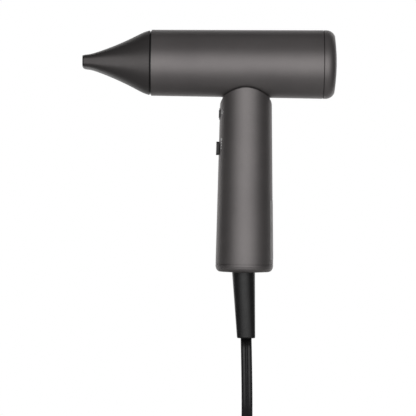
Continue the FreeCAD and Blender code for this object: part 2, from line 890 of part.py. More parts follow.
def make_handle_shell():
    """Tapered grip, saddle-cut to the barrel, with holes for its two controls.

    Its outside is made of two half faces that meet on the middle plane, as the mould's halves do.
    """
    wide = grip_bottom_radius + cover
    whole = handle_body(0.0, handle_seam_z, barrel_axis_z)
    half = whole.common(box(-wide, wide, -wide, 0.0, handle_seam_z, barrel_axis_z))
    grip = half.fuse(whole.common(box(-wide, wide, 0.0, wide, handle_seam_z, barrel_axis_z)))
    side = handle_radius(shoulder_start_z)
    drop = shoulder_end_z - shoulder_start_z
    inset = shoulder_radius - math.sqrt(shoulder_radius ** 2 - drop ** 2)
    bend = shoulder_radius - math.sqrt(shoulder_radius ** 2 - (drop / 2.0) ** 2)
    edges = []
    for sign in (1.0, -1.0):
        low = Vector(sign * side, -wide, shoulder_start_z)
        high = Vector(sign * (side - inset), -wide, shoulder_end_z)
        middle = Vector(sign * (side - bend), -wide, shoulder_start_z + drop / 2.0)
        edges.append((low, middle, high))
    right, left = edges
    bottom_right = Vector(wide, -wide, handle_seam_z - cover)
    bottom_left = Vector(-wide, -wide, handle_seam_z - cover)
    corner_right = Vector(wide, -wide, shoulder_start_z)
    corner_left = Vector(-wide, -wide, shoulder_start_z)
    top_right = Vector(right[2].x, -wide, barrel_axis_z + cover)
    top_left = Vector(left[2].x, -wide, barrel_axis_z + cover)
    pieces = [
        Part.LineSegment(bottom_left, bottom_right).toShape(),
        Part.LineSegment(bottom_right, corner_right).toShape(),
        Part.LineSegment(corner_right, right[0]).toShape(),
        Part.Arc(*right).toShape(),
        Part.LineSegment(right[2], top_right).toShape(),
        Part.LineSegment(top_right, top_left).toShape(),
        Part.LineSegment(top_left, left[2]).toShape(),
        Part.Arc(left[2], left[1], left[0]).toShape(),
        Part.LineSegment(left[0], corner_left).toShape(),
        Part.LineSegment(corner_left, bottom_left).toShape(),
    ]
    mask = Part.Face(Part.Wire(pieces)).extrude(Y * (2.0 * wide))
    grip = grip.common(mask)
    saddle = barrel_body(neck_gap, -2.0 * grip_bottom_radius, 2.0 * grip_bottom_radius)
    grip = grip.cut(saddle)
    lower = [solid for solid in grip.Solids if solid.BoundBox.ZMin < grip_top_z]
    grip = lower[0]
    rim = [edge for edge in grip.Edges if is_saddle_rim(edge)]
    grip = grip.makeFillet(neck_edge_round, rim)
    cavity = handle_body(-handle_wall, handle_seam_z - cover, neck_bore_start_z)
    grip = grip.cut(cavity)
    grip = grip.cut(rod_z(neck_bore_start_z - cover, barrel_axis_z, neck_bore_radius))
    grip = grip.cut(slot_box(-2.0 * grip_bottom_radius, 0.0))
    button_hole = button_radius + bezel_wall + free_clearance
    return grip.cut(rod_x(-2.0 * grip_bottom_radius, 0.0, button_hole, 0.0, button_z))


def is_saddle_rim(edge):
    """True for the outer edges where the grip meets its saddle cut."""
    for share in (0.2, 0.5, 0.8):
        start, end = edge.ParameterRange
        point = edge.valueAt(start + share * (end - start))
        offset = math.hypot(point.y, point.z - barrel_axis_z)
        if abs(offset - barrel_radius(point.x) - neck_gap) > 0.02:
            return False
        if point.z > barrel_axis_z:
            return False
    return True


def make_neck_gasket():
    """Thin dark seal between the handle's saddle and the barrel."""
    outer = rod_z(grip_top_z, barrel_axis_z, grip_top_radius - 2.0 * gasket_inset)
    saddle = barrel_body(neck_gap, -2.0 * grip_bottom_radius, 2.0 * grip_bottom_radius)
    saddle = saddle.cut(barrel_body(0.0, -2.0 * grip_bottom_radius, 2.0 * grip_bottom_radius))
    return outer.common(saddle).cut(rod_z(grip_top_z - cover, barrel_axis_z, neck_bore_radius))


def make_neck_tube():
    """Tube that ties the handle to the barrel and carries the leads, flanged inside the barrel."""
    outer_radius = neck_bore_radius - slip_clearance
    inner_radius = outer_radius - neck_tube_wall
    inside = barrel_body(-barrel_wall, -2.0 * grip_bottom_radius, 2.0 * grip_bottom_radius)
    room = barrel_body(-barrel_wall - neck_flange_thickness, -2.0 * grip_bottom_radius,
                       2.0 * grip_bottom_radius)
    tube = rod_z(neck_bore_start_z, barrel_axis_z, outer_radius).cut(room)
    flange = rod_z(grip_top_z, barrel_axis_z, outer_radius + neck_flange).common(inside).cut(room)
    whole = tube.fuse(flange)
    return whole.cut(rod_z(neck_bore_start_z - cover, barrel_axis_z, inner_radius))


# ---- Chassis and electronics --------------------------------------------------------------

def grooved_rails(places, low, high, board):
    """Rails given as (x0, x1, y0, y1), with the board's own shape cut from them as a groove."""
    return [box(*place, low, high).cut(board) for place in places]


def make_chassis():
    """Two bulkheads and four grooved rails that hold the main board and the switch board."""
    top_z = neck_bore_start_z - bulkhead_thickness
    top = handle_body(-handle_wall, top_z, neck_bore_start_z)
    notch_x = button_back_x() + press_step + free_clearance
    half = button_flange_radius + free_clearance
    top = top.cut(box(-2.0 * grip_bottom_radius, notch_x, -half, half, top_z - cover,
                      neck_bore_start_z + cover))
    top = top.cut(rod_z(top_z - cover, neck_bore_start_z + cover, lead_hole_radius, lead_hole_x))
    bottom_z = chassis_bottom_z + bulkhead_thickness
    bottom = handle_body(-handle_wall, chassis_bottom_z, bottom_z)
    bottom = bottom.cut(rod_z(chassis_bottom_z - cover, bottom_z + cover, lead_spacing + lead_radius))

    centre_y = board_y + board_thickness / 2.0
    side_y = (centre_y - rail_thickness / 2.0, centre_y + rail_thickness / 2.0)
    inner_x = board_half_width - rail_groove
    outer_x = inner_x + rail_width
    rear = grooved_rails([(inner_x, outer_x, *side_y)], bottom_z, top_z, make_main_board())
    front = grooved_rails([(-outer_x, -inner_x, *side_y)], bottom_z, switch_board_bottom_z - cover,
                          make_main_board())

    board_x = switch_face_x() + switch_board_thickness / 2.0
    side_x = (board_x - rail_thickness / 2.0, board_x + rail_thickness / 2.0)
    inner_y = switch_board_half_width - rail_groove
    outer_y = inner_y + rail_width
    sides = [(*side_x, -outer_y, -inner_y), (*side_x, inner_y, outer_y)]
    switch_rails = grooved_rails(sides, switch_board_bottom_z - rail_groove, top_z, make_switch_board())
    return joined([top, bottom] + rear + front + switch_rails)


def make_main_board():
    return box(-board_half_width, board_half_width, board_y, board_y + board_thickness,
               board_bottom_z, board_top_z)


def board_back_y():
    return board_y + board_thickness


def make_capacitor():
    """Electrolytic capacitor lying on the board."""
    place = Vector(capacitor_x, board_y - capacitor_radius, capacitor_z)
    can = Part.makeCylinder(capacitor_radius, capacitor_length, place, Z)
    return can.makeFillet(part_round, can.Edges)


def make_transformer():
    half = transformer_width / 2.0
    core = box(-half, half, board_y - transformer_depth, board_y, transformer_z,
               transformer_z + transformer_height)
    face = [edge for edge in core.Edges if edge.BoundBox.YMax < board_y - transformer_depth / 2.0]
    return core.makeFillet(part_round, face)


def make_choke():
    """Ring-shaped choke lying flat on the board."""
    place = Vector(choke_x, board_y - choke_wire_radius, choke_z)
    return Part.makeTorus(choke_radius, choke_wire_radius, place, Y)


def make_heat_sink():
    """Finned aluminium block on the board's back."""
    back = board_back_y()
    half = heat_sink_width / 2.0
    high = heat_sink_z + heat_sink_height
    pieces = [box(-half, half, back, back + heat_sink_base, heat_sink_z, high)]
    spacing = (heat_sink_width - fin_thickness) / (fin_count - 1)
    for i in range(fin_count):
        left = -half + i * spacing
        pieces.append(box(left, left + fin_thickness, back, back + fin_height, heat_sink_z, high))
    return joined(pieces)


def make_board_chips():
    """The board's two integrated circuits, identical packages."""
    back = board_back_y()
    half = chip_width / 2.0
    chips = [box(-half, half, back, back + chip_thickness, z, z + chip_height) for z in chip_places]
    return Part.makeCompound(chips)


def make_connector():
    """Three-way socket for the leads to the barrel."""
    half = connector_width / 2.0
    high = connector_z + connector_height
    block = box(-half, half, board_y - connector_depth, board_y, connector_z, high)
    pitch = connector_width / connector_ways
    wells = []
    for i in range(connector_ways):
        left = -half + i * pitch + connector_wall / 2.0
        wells.append(box(left, left + pitch - connector_wall, board_y - connector_depth - cover,
                         board_y - connector_wall, connector_z + connector_wall, high - connector_wall))
    return block.cut(wells)


def button_back_x():
    """How deep the mode button's flange reaches, at rest."""
    inner = handle_radius(button_z) - handle_wall
    sagitta = inner - math.sqrt(inner ** 2 - button_flange_radius ** 2)
    return -inner + sagitta + free_clearance + button_flange


def switch_face_x():
    """Front face of the switch board."""
    return button_back_x() + press_step + plunger_reach + tact_depth


def carrier_front():
    """Distance from the handle's axis to the slide carrier's front face."""
    inner = handle_radius(slide_z) - handle_wall
    return math.sqrt(inner ** 2 - (carrier_width / 2.0) ** 2) - carrier_gap


def make_switch_board():
    x0 = switch_face_x()
    return box(x0, x0 + switch_board_thickness, -switch_board_half_width, switch_board_half_width,
               switch_board_bottom_z, switch_board_top_z)


def make_tact_switch():
    """Push switch behind the mode button, with its plunger held in."""
    x1 = switch_face_x()
    half = tact_size / 2.0
    body = box(x1 - tact_depth, x1, -half, half, button_z - half, button_z + half)
    start = x1 - tact_depth - plunger_reach + slip_clearance
    return body.fuse(rod_x(start, x1 - tact_depth, plunger_radius, 0.0, button_z))


def slide_body_front_x():
    return switch_face_x() - slide_body_depth


def make_slide_body():
    """Case of the slide switch, open along the front where the carrier's pin runs."""
    x1 = switch_face_x()
    x0 = slide_body_front_x()
    low = slide_z - pin_size / 2.0 - free_clearance
    high = slide_z + pin_size / 2.0 + slide_travel + free_clearance
    case = box(x0, x1, -slide_body_half_width, slide_body_half_width, low - slide_body_end,
               high + slide_body_end)
    half = pin_size / 2.0 + free_clearance
    return case.cut(box(x0 - cover, x1 - slide_body_back, -half, half, low, high))


def around_button(offset):
    """The grip's outside near the mode button, grown by an offset."""
    return handle_body(offset, button_z - grip_top_radius / 2.0, button_z + grip_top_radius / 2.0)


def make_mode_button():
    """Round pad with a flange that keeps it in the handle."""
    outside = around_button(button_proud)
    back = button_back_x()
    pad = rod_x(-2.0 * grip_bottom_radius, back, button_radius, 0.0, button_z).common(outside)
    rim = [edge for edge in pad.Edges if edge.BoundBox.XMax < -grip_top_radius]
    pad = pad.makeFillet(button_edge_round, rim)
    flange = rod_x(back - button_flange, back, button_flange_radius, 0.0, button_z)
    return pad.fuse(flange)


def make_button_bezel():
    """Black ring round the mode button, bedded in the handle's wall."""
    outer = button_radius + free_clearance + bezel_wall
    front = rod_x(-2.0 * grip_bottom_radius, 0.0, outer, 0.0, button_z).common(around_button(bezel_proud))
    front = front.cut(around_button(-handle_wall))
    return front.cut(rod_x(-2.0 * grip_bottom_radius, 0.0, button_radius + free_clearance, 0.0, button_z))


def make_slide_knob():
    """Thumb slider outside the grip, with its stem through the slot."""
    half = knob_height / 2.0
    block = rounded_block(-2.0 * grip_bottom_radius, 0.0, knob_width / 2.0, slide_z - half,
                          slide_z + half, knob_corner)
    knob = block.common(around_knob(knob_proud)).cut(around_knob(knob_gap)).cut(make_knob_plate())
    stem = box(-handle_radius(slide_z) - knob_proud / 2.0, -carrier_front(), -stem_width / 2.0,
               stem_width / 2.0, slide_z - stem_height / 2.0, slide_z + stem_height / 2.0)
    return knob.fuse(stem)


def around_knob(offset):
    """The grip's outside near the slide knob, grown by an offset."""
    return handle_body(offset, slide_z - knob_height, slide_z + knob_height)


def make_knob_plate():
    """Metallic plate let into the slider's face."""
    half = knob_cap_height / 2.0
    block = rounded_block(-2.0 * grip_bottom_radius, 0.0, knob_width / 2.0 - knob_cap_inset,
                          slide_z - half, slide_z + half, knob_cap_inset)
    return block.common(around_knob(knob_proud)).cut(around_knob(knob_proud - knob_cap_thickness))


def make_slide_carrier():
    """Shutter behind the slot, with a pin that works the slide switch."""
    x0 = -carrier_front()
    x1 = x0 + carrier_thickness
    plate = box(x0, x1, -carrier_width / 2.0, carrier_width / 2.0, slide_z - carrier_height / 2.0,
                slide_z + carrier_height / 2.0)
    pin = box(x1, slide_body_front_x() + pin_reach, -pin_size / 2.0, pin_size / 2.0,
              slide_z - pin_size / 2.0, slide_z + pin_size / 2.0)
    return plate.fuse(pin)


def make_rating_plate():
    """Thin blank label on the grip's rear."""
    sheet = handle_body(plate_thickness, plate_bottom_z, plate_top_z)
    sheet = sheet.cut(handle_body(0.0, plate_bottom_z - cover, plate_top_z + cover))
    reach = 2.0 * grip_bottom_radius
    side = reach * math.tan(math.radians(plate_half_angle))
    low = plate_bottom_z - cover
    corners = [Vector(0, 0, low), Vector(reach, -side, low), Vector(reach, side, low)]
    wedge = Part.Face(outline(corners)).extrude(Z * (plate_top_z + cover - low))
    return sheet.common(wedge)


# ---- Base and cord relief -----------------------------------------------------------------

def make_base_cap():
    """Metallic end cap, rounded below, with a skirt inside the grip."""
    top_z = handle_seam_z - base_seam_gap
    side = handle_radius(handle_seam_z)
    skirt_top_z = handle_seam_z + base_skirt
    skirt_foot = side - handle_wall
    skirt_head = handle_radius(skirt_top_z) - handle_wall
    skirt_inner = skirt_head - base_skirt_wall
    hole = relief_neck_radius
    return turned_z([
        (hole, base_bottom_z),
        (relief_flange_radius, base_bottom_z),
        (side - base_draft, base_bottom_z + base_dome),
        (side, base_side_end_z),
        (side, top_z),
        (skirt_foot, top_z),
        (skirt_foot, handle_seam_z),
        (skirt_head, skirt_top_z),
        (skirt_inner, skirt_top_z),
        (skirt_inner, base_bottom_z + base_floor),
        (hole, base_bottom_z + base_floor),
    ], [0.0, 0.0, base_round] + [0.0] * 8)


def make_strain_relief():
    """Tapered rubber boot, held by a neck and flange through the base."""
    top = Part.Wire(Part.makeCircle(relief_top_radius, Vector(relief_offset, 0, base_bottom_z)))
    ellipse = Part.Ellipse(Vector(relief_lean, 0, relief_bottom_z), relief_bottom_half_width,
                           relief_bottom_half_depth)
    bottom = Part.Wire(ellipse.toShape())
    boot = Part.makeLoft([top, bottom], True, False)
    rim = [edge for edge in boot.Edges if edge.BoundBox.ZMax < relief_bottom_z + relief_end_round]
    boot = boot.makeFillet(relief_end_round, rim)
    floor_z = base_bottom_z + base_floor
    neck = rod_z(base_bottom_z, floor_z, relief_neck_radius)
    flange = rod_z(floor_z, floor_z + relief_flange, relief_flange_radius)
    return joined([boot, neck, flange])


def lead_places():
    return (-lead_spacing / 2.0, lead_spacing / 2.0)


def make_supply_leads():
    """The cord's two conductors, from the relief up through the clamp to the board."""
    low = base_bottom_z + base_floor + relief_flange
    leads = [rod_z(low, board_bottom_z, lead_radius, x, board_y + board_thickness / 2.0)
             for x in lead_places()]
    return Part.makeCompound(leads)


def make_cord_clamp():
    """Bar screwed below the chassis that grips both conductors."""
    y = board_y + board_thickness / 2.0
    half = clamp_width / 2.0
    low = chassis_bottom_z - clamp_height
    bar = box(-half, half, y - clamp_depth / 2.0, y + clamp_depth / 2.0, low, chassis_bottom_z)
    for x in lead_places():
        bar = bar.cut(rod_z(low - cover, chassis_bottom_z + cover, lead_radius, x, y))
    return bar.cut(make_clamp_screws())


def make_clamp_screws():
    """Two identical screws through the clamp bar."""
    y = board_y + board_thickness / 2.0
    low = chassis_bottom_z - clamp_height
    screws = []
    reach = clamp_width / 2.0 - screw_inset
    for x in (-reach, reach):
        head = rod_z(low - screw_head, low, screw_head_radius, x, y)
        shank = rod_z(low, chassis_bottom_z, screw_radius, x, y)
        screws.append(head.fuse(shank))
    return Part.makeCompound(screws)


# ---- Cord, coil, tie and plug ---------------------------------------------------------------

def route_radii(points):
    """The largest tangent arc at each inner point that its two runs allow."""
    radii = [0.0]
    for before, here, after in zip(points, points[1:], points[2:]):
        turn = (here - before).getAngle(after - here)
        shorter = min((here - before).Length, (after - here).Length)
        radii.append(arc_share * shorter / math.tan(turn / 2.0))
    radii.append(0.0)
    return radii


def make_power_cord():
    """The stretch from the boot down to the coil."""
    radii = route_radii(cord_route)
    path = Part.Wire(rounded_edges(cord_route, radii, False))
    start = cord_route[0]
    direction = (cord_route[1] - start).normalize()
    section = Part.Wire(Part.makeCircle(cord_diameter / 2.0, start, direction))
    tube = path.makePipeShell([section], True, False)
    expected = math.pi * (cord_diameter / 2.0) ** 2 * path.Length
    print("cord arcs", [round(radius, 1) for radius in radii[1:-1]], "length", round(path.Length, 1),
          "volume", round(tube.Volume), "section x length", round(expected))
    return tube


def make_cord_coil():
    """The rest of the cord, put away as a round coil; its solid is the turns' outer shape."""
    low = coil_low_z
    high = coil_low_z + coil_height
    corner = cord_thickness / 2.0
    points = [Vector(coil_inner_radius, 0, low), Vector(coil_outer_radius, 0, low),
              Vector(coil_outer_radius, 0, high), Vector(coil_inner_radius, 0, high)]
    section = Part.Face(outline(points, [corner] * len(points)))
    coil = section.revolve(ORIGIN, Z, 360)
    coil.translate(Vector(coil_centre.x, coil_centre.y, 0))
    return coil


def make_cord_tie():
    """Strap round the coil's turns, on the side away from the plug."""
    half = tie_width / 2.0
    grow = tie_thickness
    low_x, high_x = coil_inner_radius - grow, coil_outer_radius + grow
    low_z, high_z = surface_z, coil_low_z + coil_height + grow
    points = [Vector(low_x, -half, low_z), Vector(high_x, -half, low_z),
              Vector(high_x, -half, high_z), Vector(low_x, -half, high_z)]
    corner = cord_thickness / 2.0 + grow
    strap = Part.Face(outline(points, [corner] * len(points))).extrude(Y * tie_width)
    strap.rotate(ORIGIN, Z, tie_turn)
    strap.translate(Vector(coil_centre.x, coil_centre.y, 0))
    return strap.cut(make_cord_coil())


def placed_plug(shape):
    """Move a piece from the plug's own place, where its lead enters along +X, to beside the coil."""
    turn = math.radians(plug_turn)
    spot = coil_centre + Vector(math.cos(turn), math.sin(turn), 0) * outer_turn_radius
    shape.rotate(ORIGIN, Z, plug_turn + 90.0)
    shape.translate(spot)
    return shape


def make_plug_body():
    """Moulded two-blade plug, resting on the surface."""
    low = plug_lead + plug_relief_length
    block = box(low, low + plug_length, -plug_half_width, plug_half_width, 0, 2.0 * plug_half_height)
    edges = [edge for edge in block.Edges if edge.BoundBox.XLength > plug_length / 2.0]
    block = block.makeFillet(plug_round, edges)
    rear = [edge for edge in block.Edges if edge.BoundBox.XMax < low + plug_round / 2.0]
    block = block.makeFillet(plug_round / 2.0, rear)
    height = plug_half_height
    relief = Part.makeCone(plug_relief_end_radius, plug_relief_radius, plug_relief_length + plug_round,
                           Vector(plug_lead, 0, height), X)
    return placed_plug(joined([block, relief]).cut(plug_sockets()))


def blade_boxes(start, end):
    blades = []
    for side in (-1.0, 1.0):
        y = side * blade_spacing / 2.0
        blades.append(box(start, end, y - blade_metal / 2.0, y + blade_metal / 2.0,
                          plug_half_height - blade_width / 2.0, plug_half_height + blade_width / 2.0))
    return blades


def plug_sockets():
    front = plug_lead + plug_relief_length + plug_length
    return blade_boxes(front - blade_root, front + cover)


def make_plug_blades():
    front = plug_lead + plug_relief_length + plug_length
    blades = []
    for blade in blade_boxes(front - blade_root, front + blade_length):
        tips = [edge for edge in blade.Edges if edge.BoundBox.XMin > front + blade_length - blade_end_round
                and edge.BoundBox.YLength > blade_metal / 2.0]
        blades.append(blade.makeFillet(blade_end_round, tips))
    return placed_plug(Part.makeCompound(blades))


# ---- Output -------------------------------------------------------------------------------

pieces = {
    "nozzle_shell": make_nozzle_shell,
    "nozzle_lip": make_nozzle_lip,
    "nozzle_collar": make_nozzle_collar,
    "nozzle_magnets": make_nozzle_magnets,
    "barrel_shell": make_barrel_shell,
    "front_ring": make_front_ring,
    "outlet_grille": make_outlet_grille,
    "ion_emitter": make_ion_emitter,
    "heat_tube": make_heat_tube,
    "heater_frame": make_heater_frame,
    "heater_coil": make_heater_coil,
    "thermal_cutout": make_thermal_cutout,
    "inner_duct": make_inner_duct,
    "motor_mount": make_motor_mount,
    "motor_housing": make_motor_housing,
    "stator_core": make_stator_core,
    "stator_windings": make_stator_windings,
    "bearing_front": lambda: make_bearing(bearing_front_x),
    "bearing_rear": lambda: make_bearing(bearing_rear_x),
    "motor_bracket": make_motor_bracket,
    "rotor_shaft": make_rotor_shaft,
    "rotor_magnet": make_rotor_magnet,
    "impeller": make_impeller,
    "inlet_bell": make_inlet_bell,
    "inlet_ring": make_inlet_ring,
    "barrel_magnets": make_barrel_magnets,
    "cap_magnets": make_cap_magnets,
    "rear_cap": make_rear_cap,
    "rear_grille": make_rear_grille,
    "filter_mesh": make_filter_mesh,
    "handle_shell": make_handle_shell,
    "neck_gasket": make_neck_gasket,
    "neck_tube": make_neck_tube,
    "chassis": make_chassis,
    "main_board": make_main_board,
    "capacitor": make_capacitor,
    "transformer": make_transformer,
    "choke": make_choke,
    "heat_sink": make_heat_sink,
    "board_chips": make_board_chips,
    "connector": make_connector,
    "switch_board": make_switch_board,
    "tact_switch": make_tact_switch,
    "slide_body": make_slide_body,
    "mode_button": make_mode_button,
    "button_bezel": make_button_bezel,
    "slide_knob": make_slide_knob,
    "knob_plate": make_knob_plate,
    "slide_carrier": make_slide_carrier,
    "rating_plate": make_rating_plate,
    "base_cap": make_base_cap,
    "strain_relief": make_strain_relief,
    "supply_leads": make_supply_leads,
    "cord_clamp": make_cord_clamp,
    "clamp_screws": make_clamp_screws,
    "power_cord": make_power_cord,
    "cord_coil": make_cord_coil,
    "cord_tie": make_cord_tie,
    "plug_body": make_plug_body,
    "plug_blades": make_plug_blades,
}

for name, make in pieces.items():
    shape = make()
    if not shape.isValid():
        print("not valid:", name)
    shape.exportStep("parts/" + name + ".step")
print(len(pieces), "parts written")
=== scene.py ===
import bpy
import math
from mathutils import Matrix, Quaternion, Vector


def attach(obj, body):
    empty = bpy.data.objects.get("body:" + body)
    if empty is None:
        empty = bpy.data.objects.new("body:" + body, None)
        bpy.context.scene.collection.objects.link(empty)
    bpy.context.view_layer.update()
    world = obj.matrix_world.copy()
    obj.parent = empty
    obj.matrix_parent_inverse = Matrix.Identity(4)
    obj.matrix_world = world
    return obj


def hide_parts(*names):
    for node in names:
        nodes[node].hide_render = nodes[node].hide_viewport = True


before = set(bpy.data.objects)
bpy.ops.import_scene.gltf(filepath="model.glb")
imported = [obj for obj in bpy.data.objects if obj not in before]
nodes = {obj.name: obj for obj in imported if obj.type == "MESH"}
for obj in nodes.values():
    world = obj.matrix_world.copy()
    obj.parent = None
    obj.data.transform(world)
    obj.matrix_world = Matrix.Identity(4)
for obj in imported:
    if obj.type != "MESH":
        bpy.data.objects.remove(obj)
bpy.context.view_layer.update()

MM = 0.001
scene = bpy.context.scene

# ---- Camera ---------------------------------------------------------------------------------

camera_distance = 2.0
picture_centre = (-27.3, -2.0)       # x and z of the picture's middle on the object's plane, mm
picture_width = 307.8                # mm across the picture at the object's plane
camera_roll = math.radians(0.6)
sensor_width = 36.0

camera_data = bpy.data.cameras.new("camera")
camera_data.sensor_width = sensor_width
camera_data.lens = sensor_width * camera_distance / (picture_width * MM)
camera_data.clip_start, camera_data.clip_end = 0.05, 50.0
camera = bpy.data.objects.new("camera", camera_data)
camera.location = (picture_centre[0] * MM, -camera_distance, picture_centre[1] * MM)
camera.rotation_mode = "QUATERNION"
looking = Vector((0.0, 1.0, 0.0)).to_track_quat("-Z", "Y")
camera.rotation_quaternion = looking @ Quaternion((0.0, 0.0, 1.0), camera_roll)
scene.collection.objects.link(camera)
scene.camera = camera

# ---- Sizes shared with the CAD model, in mm -----------------------------------------------------

grip_top_z, grip_top_radius = 76.4, 19.15
grip_seam_z, grip_seam_radius = -43.3, 21.3
cord_width, cord_thickness = 8.2, 4.4
surface_z = -205.8
cord_route = [(1.9, 0.0, -98.0), (2.9, 0.0, -129.0), (3.3, 2.0, -163.7), (3.3, 31.6, -192.7),
              (3.3, 72.6, -192.7)]
coil_centre = (-49.5, 72.6)
turn_radii = (52.8, 48.0, 43.2)
layer_z = (-192.7, -200.9)
plug_axis_z = -198.3


def link(obj):
    scene.collection.objects.link(obj)
    return obj


def mesh_object(name, verts, faces, smooth=True):
    mesh = bpy.data.meshes.new(name)
    mesh.from_pydata([tuple(v) for v in verts], [], faces)
    mesh.polygons.foreach_set("use_smooth", [smooth] * len(mesh.polygons))
    mesh.update()
    return link(bpy.data.objects.new(name, mesh))


def smoothstep(value):
    value = min(1.0, max(0.0, value))
    return value * value * (3.0 - 2.0 * value)


def grip_radius(z):
    share = (grip_top_z - z) / (grip_top_z - grip_seam_z)
    return grip_top_radius + share * (grip_seam_radius - grip_top_radius)


# ---- Materials --------------------------------------------------------------------------------

class Shader:
    """A material under construction: a Principled shader and what feeds it."""

    def __init__(self, name, color, roughness, metallic=0.0, coat=0.0, coat_roughness=0.1):
        self.material = bpy.data.materials.new(name)
        self.material.use_nodes = True
        self.tree = self.material.node_tree
        self.bsdf = self.tree.nodes["Principled BSDF"]
        self.coords = self.tree.nodes.new("ShaderNodeTexCoord")
        self.color, self.roughness = color, roughness
        self.bsdf.inputs["Base Color"].default_value = (*color, 1.0)
        self.bsdf.inputs["Roughness"].default_value = roughness
        self.bsdf.inputs["Metallic"].default_value = metallic
        self.bsdf.inputs["Specular IOR Level"].default_value = 0.5
        self.bsdf.inputs["Coat Weight"].default_value = coat
        self.bsdf.inputs["Coat Roughness"].default_value = coat_roughness
        self.bump_end = None

    def join(self, out, into):
        self.tree.links.new(out, into)

    def scaled(self, scale):
        mapping = self.tree.nodes.new("ShaderNodeMapping")
        mapping.inputs["Scale"].default_value = scale
        self.join(self.coords.outputs["Object"], mapping.inputs["Vector"])
        return mapping.outputs["Vector"]

    def noise(self, scale, detail=2.0, stretch=(1.0, 1.0, 1.0)):
        node = self.tree.nodes.new("ShaderNodeTexNoise")
        node.inputs["Scale"].default_value = scale
        node.inputs["Detail"].default_value = detail
        self.join(self.scaled(stretch), node.inputs["Vector"])
        return node.outputs["Fac"]

    def cells(self, scale):
        node = self.tree.nodes.new("ShaderNodeTexVoronoi")
        node.inputs["Scale"].default_value = scale
        self.join(self.coords.outputs["Object"], node.inputs["Vector"])
        return node.outputs["Distance"]

    def wave(self, scale, direction, distortion=0.0):
        node = self.tree.nodes.new("ShaderNodeTexWave")
        node.bands_direction = direction
        node.inputs["Scale"].default_value = scale
        node.inputs["Distortion"].default_value = distortion
        self.join(self.coords.outputs["Object"], node.inputs["Vector"])
        return node.outputs["Fac"]

    def math(self, operation, a, b):
        node = self.tree.nodes.new("ShaderNodeMath")
        node.operation = operation
        for socket, value in zip(node.inputs, (a, b)):
            self.join(value, socket)
        return node.outputs["Value"]

    def spread(self, value, low, high, start=0.0, end=1.0):
        node = self.tree.nodes.new("ShaderNodeMapRange")
        node.inputs["From Min"].default_value = start
        node.inputs["From Max"].default_value = end
        node.inputs["To Min"].default_value = low
        node.inputs["To Max"].default_value = high
        self.join(value, node.inputs["Value"])
        return node.outputs["Result"]

    def vary_color(self, value, other, start=0.35, end=0.65):
        """Colour runs from the base to another colour with a texture's value."""
        mix = self.tree.nodes.new("ShaderNodeMix")
        mix.data_type = "RGBA"
        socket = self.bsdf.inputs["Base Color"]
        if socket.is_linked:
            before = socket.links[0].from_socket
            self.join(before, mix.inputs["A"])
        else:
            mix.inputs["A"].default_value = (*self.color, 1.0)
        mix.inputs["B"].default_value = (*other, 1.0)
        self.join(self.spread(value, 0.0, 1.0, start, end), mix.inputs["Factor"])
        self.join(mix.outputs["Result"], socket)
        return self

    def vary_roughness(self, value, change, start=0.3, end=0.7):
        low, high = self.roughness - change, self.roughness + change
        self.join(self.spread(value, low, high, start, end), self.bsdf.inputs["Roughness"])
        return self

    def bump(self, value, height, strength=1.0):
        """Adds a layer of bump; height is in metres."""
        node = self.tree.nodes.new("ShaderNodeBump")
        node.inputs["Strength"].default_value = strength
        node.inputs["Distance"].default_value = height
        self.join(value, node.inputs["Height"])
        if self.bump_end is not None:
            self.join(self.bump_end, node.inputs["Normal"])
        self.bump_end = node.outputs["Normal"]
        self.join(self.bump_end, self.bsdf.inputs["Normal"])
        return self


def plastic(name, color, roughness, grain=1800.0, grain_height=0.00002, coat=0.0):
    """Moulded plastic: a fine spark-eroded grain, with slow changes of gloss and shade."""
    shader = Shader(name, color, roughness, coat=coat)
    shader.vary_color(shader.noise(60.0, 3.0), tuple(1.15 * c + 0.002 for c in color))
    shader.vary_roughness(shader.noise(180.0, 4.0), 0.05)
    shader.bump(shader.noise(grain, 3.0), grain_height, 0.35)
    return shader


def metal(name, color, roughness, stretch=(1.0, 1.0, 1.0), grain=900.0):
    """Bare metal with drawn or ground marks along the unstretched axis."""
    shader = Shader(name, color, roughness, metallic=1.0)
    shader.vary_color(shader.noise(200.0, 4.0, stretch), tuple(0.82 * c for c in color))
    shader.vary_roughness(shader.noise(400.0, 4.0, stretch), 0.08)
    shader.bump(shader.noise(grain, 4.0, stretch), 0.00001, 0.3)
    return shader


def make_gunmetal(name, depth):
    """Satin metallic paint: fine flakes under a thin clear layer. Depth scales how pale it is."""
    base, flake, cloud = (0.2, 0.187, 0.187), (0.25, 0.234, 0.232), (0.21, 0.196, 0.196)
    color = tuple(depth * c for c in base)
    shader = Shader(name, color, 0.5, metallic=0.9, coat=0.06, coat_roughness=0.35)
    shader.vary_color(shader.cells(5200.0), tuple(depth * c for c in flake), 0.1, 0.75)
    shader.vary_color(shader.noise(35.0, 3.0), tuple(depth * c for c in cloud), 0.4, 0.7)
    shader.vary_roughness(shader.noise(2500.0, 2.0), 0.035)
    shader.bump(shader.noise(4200.0, 2.0), 0.000008, 0.45)
    shader.bump(shader.noise(320.0, 2.0), 0.00001, 0.12)
    return shader


def make_board():
    """Green circuit board with faint tracks below the solder mask."""
    shader = Shader("board_mask", (0.012, 0.09, 0.035), 0.32, coat=0.4)
    shader.vary_color(shader.wave(180.0, "X", 6.0), (0.02, 0.16, 0.06), 0.55, 0.7)
    shader.vary_roughness(shader.noise(300.0, 3.0), 0.06)
    shader.bump(shader.wave(180.0, "X", 6.0), 0.00003, 0.4)
    return shader


